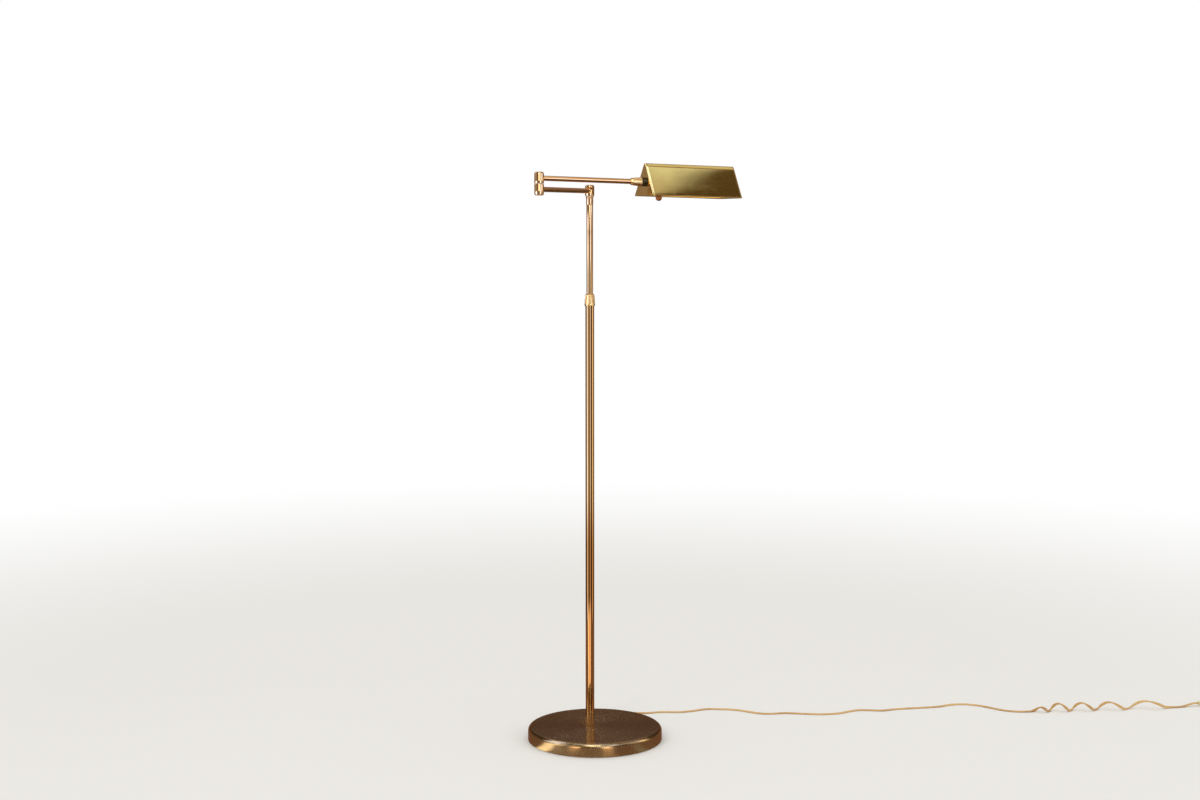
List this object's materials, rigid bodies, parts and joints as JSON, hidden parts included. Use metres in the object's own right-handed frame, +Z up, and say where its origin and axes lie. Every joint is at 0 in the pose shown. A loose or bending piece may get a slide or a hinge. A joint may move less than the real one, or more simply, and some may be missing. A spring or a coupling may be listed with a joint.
{
  "type": "bridge floor lamp",
  "caption": "Brass bridge floor lamp with a round weighted base, an offset telescoping post, a folding double swing arm, a turning tent shade and a flat cord with a plug.",
  "frame": {"origin": "centre of the round base's underside, on the floor", "axes": "+Z up along the post; -Z is the way the base rests; the post stands on +Y from the origin, near the base's back edge; the shade lies towards +X"},
  "size_m": [1.4147, 0.3177, 1.0858],
  "materials": {
    "base_brass": "satin brass darkened to bronze, brushed in circles",
    "post_brass": "satin brass, drawn along its length",
    "arm_brass": "satin brass with darker rims",
    "polished_brass": "polished brass",
    "shade_brass": "polished brass sheet, white enamel inside",
    "fitting_brass": "turned brass",
    "knob_brass": "darkened copper brass",
    "blade_brass": "plain brass",
    "iron": "as cast, painted",
    "steel": "zinc plated",
    "aluminium": "plain",
    "felt": "wool felt",
    "nylon": "natural nylon",
    "black_fibre": "black moulded",
    "phenolic": "dark moulded",
    "lead": "two-wire lead",
    "cord_cover": "translucent golden-brown flat cord",
    "plug_plastic": "ivory moulded plastic",
    "bulb_glass": "clear tubular bulb"
  },
  "bodies": {
    "base": {"base_cover": "base_brass", "base_weight": "iron", "base_pad": "felt", "base_nipple": "fitting_brass", "base_washer": "steel", "base_nut": "steel", "post_foot": "fitting_brass", "post_tube": "post_brass", "post_socket": "fitting_brass", "collet": "fitting_brass", "post_wire": "lead", "cord_sleeve": "cord_cover", "cord": "cord_cover", "plug_body": "plug_plastic", "plug_blades": "blade_brass"},
    "lock_collar": {"lock_collar": "polished_brass"},
    "mast": {"mast_tube": "post_brass", "mast_guide": "nylon", "mast_ferrule": "polished_brass", "swivel_stem": "fitting_brass", "knuckle_washer": "nylon", "knuckle_cap": "polished_brass", "mast_wire": "lead"},
    "lower_arm": {"knuckle_barrel": "arm_brass", "lower_arm_tube": "arm_brass", "elbow_lower_barrel": "arm_brass", "elbow_stem": "fitting_brass", "elbow_bottom_cap": "arm_brass", "elbow_top_cap": "arm_brass", "elbow_washer": "nylon", "lower_arm_wire": "lead"},
    "upper_arm": {"elbow_upper_barrel": "arm_brass", "upper_arm_tube": "arm_brass", "arm_end_fitting": "fitting_brass", "upper_arm_wire": "lead"},
    "shade_nut": {"shade_nut": "polished_brass"},
    "shade": {"shade_shell": "shade_brass", "shade_stem": "fitting_brass", "shade_washer": "black_fibre", "shade_locknut": "steel", "socket_cap": "polished_brass", "socket_shell": "polished_brass", "socket_body": "phenolic", "socket_screw_shell": "aluminium", "socket_contact": "blade_brass", "bulb_base": "aluminium", "bulb_glass": "bulb_glass"},
    "switch_knob": {"switch_shaft": "fitting_brass", "switch_knob": "knob_brass"}
  },
  "joints": [
    {"name": "lock_collar_turn", "type": "hinge", "parent": "base", "child": "lock_collar", "pos_m": [0, 0.107, 0.829], "axis": [0, 0, 1], "range_deg": [0, 180]},
    {"name": "height_slide", "type": "slide", "parent": "base", "child": "mast", "axis": [0, 0, 1], "range_m": [-0.165, 0.145]},
    {"name": "post_swivel", "type": "hinge", "parent": "mast", "child": "lower_arm", "pos_m": [0, 0.107, 1.0365], "axis": [0, 0, 1], "range_deg": [-165, 165]},
    {"name": "elbow_swivel", "type": "hinge", "parent": "lower_arm", "child": "upper_arm", "pos_m": [-0.10554, -0.04372, 1.0567], "axis": [0, 0, 1], "range_deg": [-310, 32]},
    {"name": "shade_nut_turn", "type": "hinge", "parent": "upper_arm", "child": "shade_nut", "pos_m": [0.07681, 0.00174, 1.05178], "axis": [0.97, 0.2418, -0.0262], "range_deg": [0, 120]},
    {"name": "shade_swivel", "type": "hinge", "parent": "upper_arm", "child": "shade", "pos_m": [0.09233, 0.00561, 1.05136], "axis": [0.97, 0.2418, -0.0262], "range_deg": [-100, 100]},
    {"name": "switch_knob_turn", "type": "hinge", "parent": "shade", "child": "switch_knob", "pos_m": [0.12093, 0.01274, 1.03058], "axis": [0.0254, 0.0063, 0.9997], "continuous": true}
  ]
}
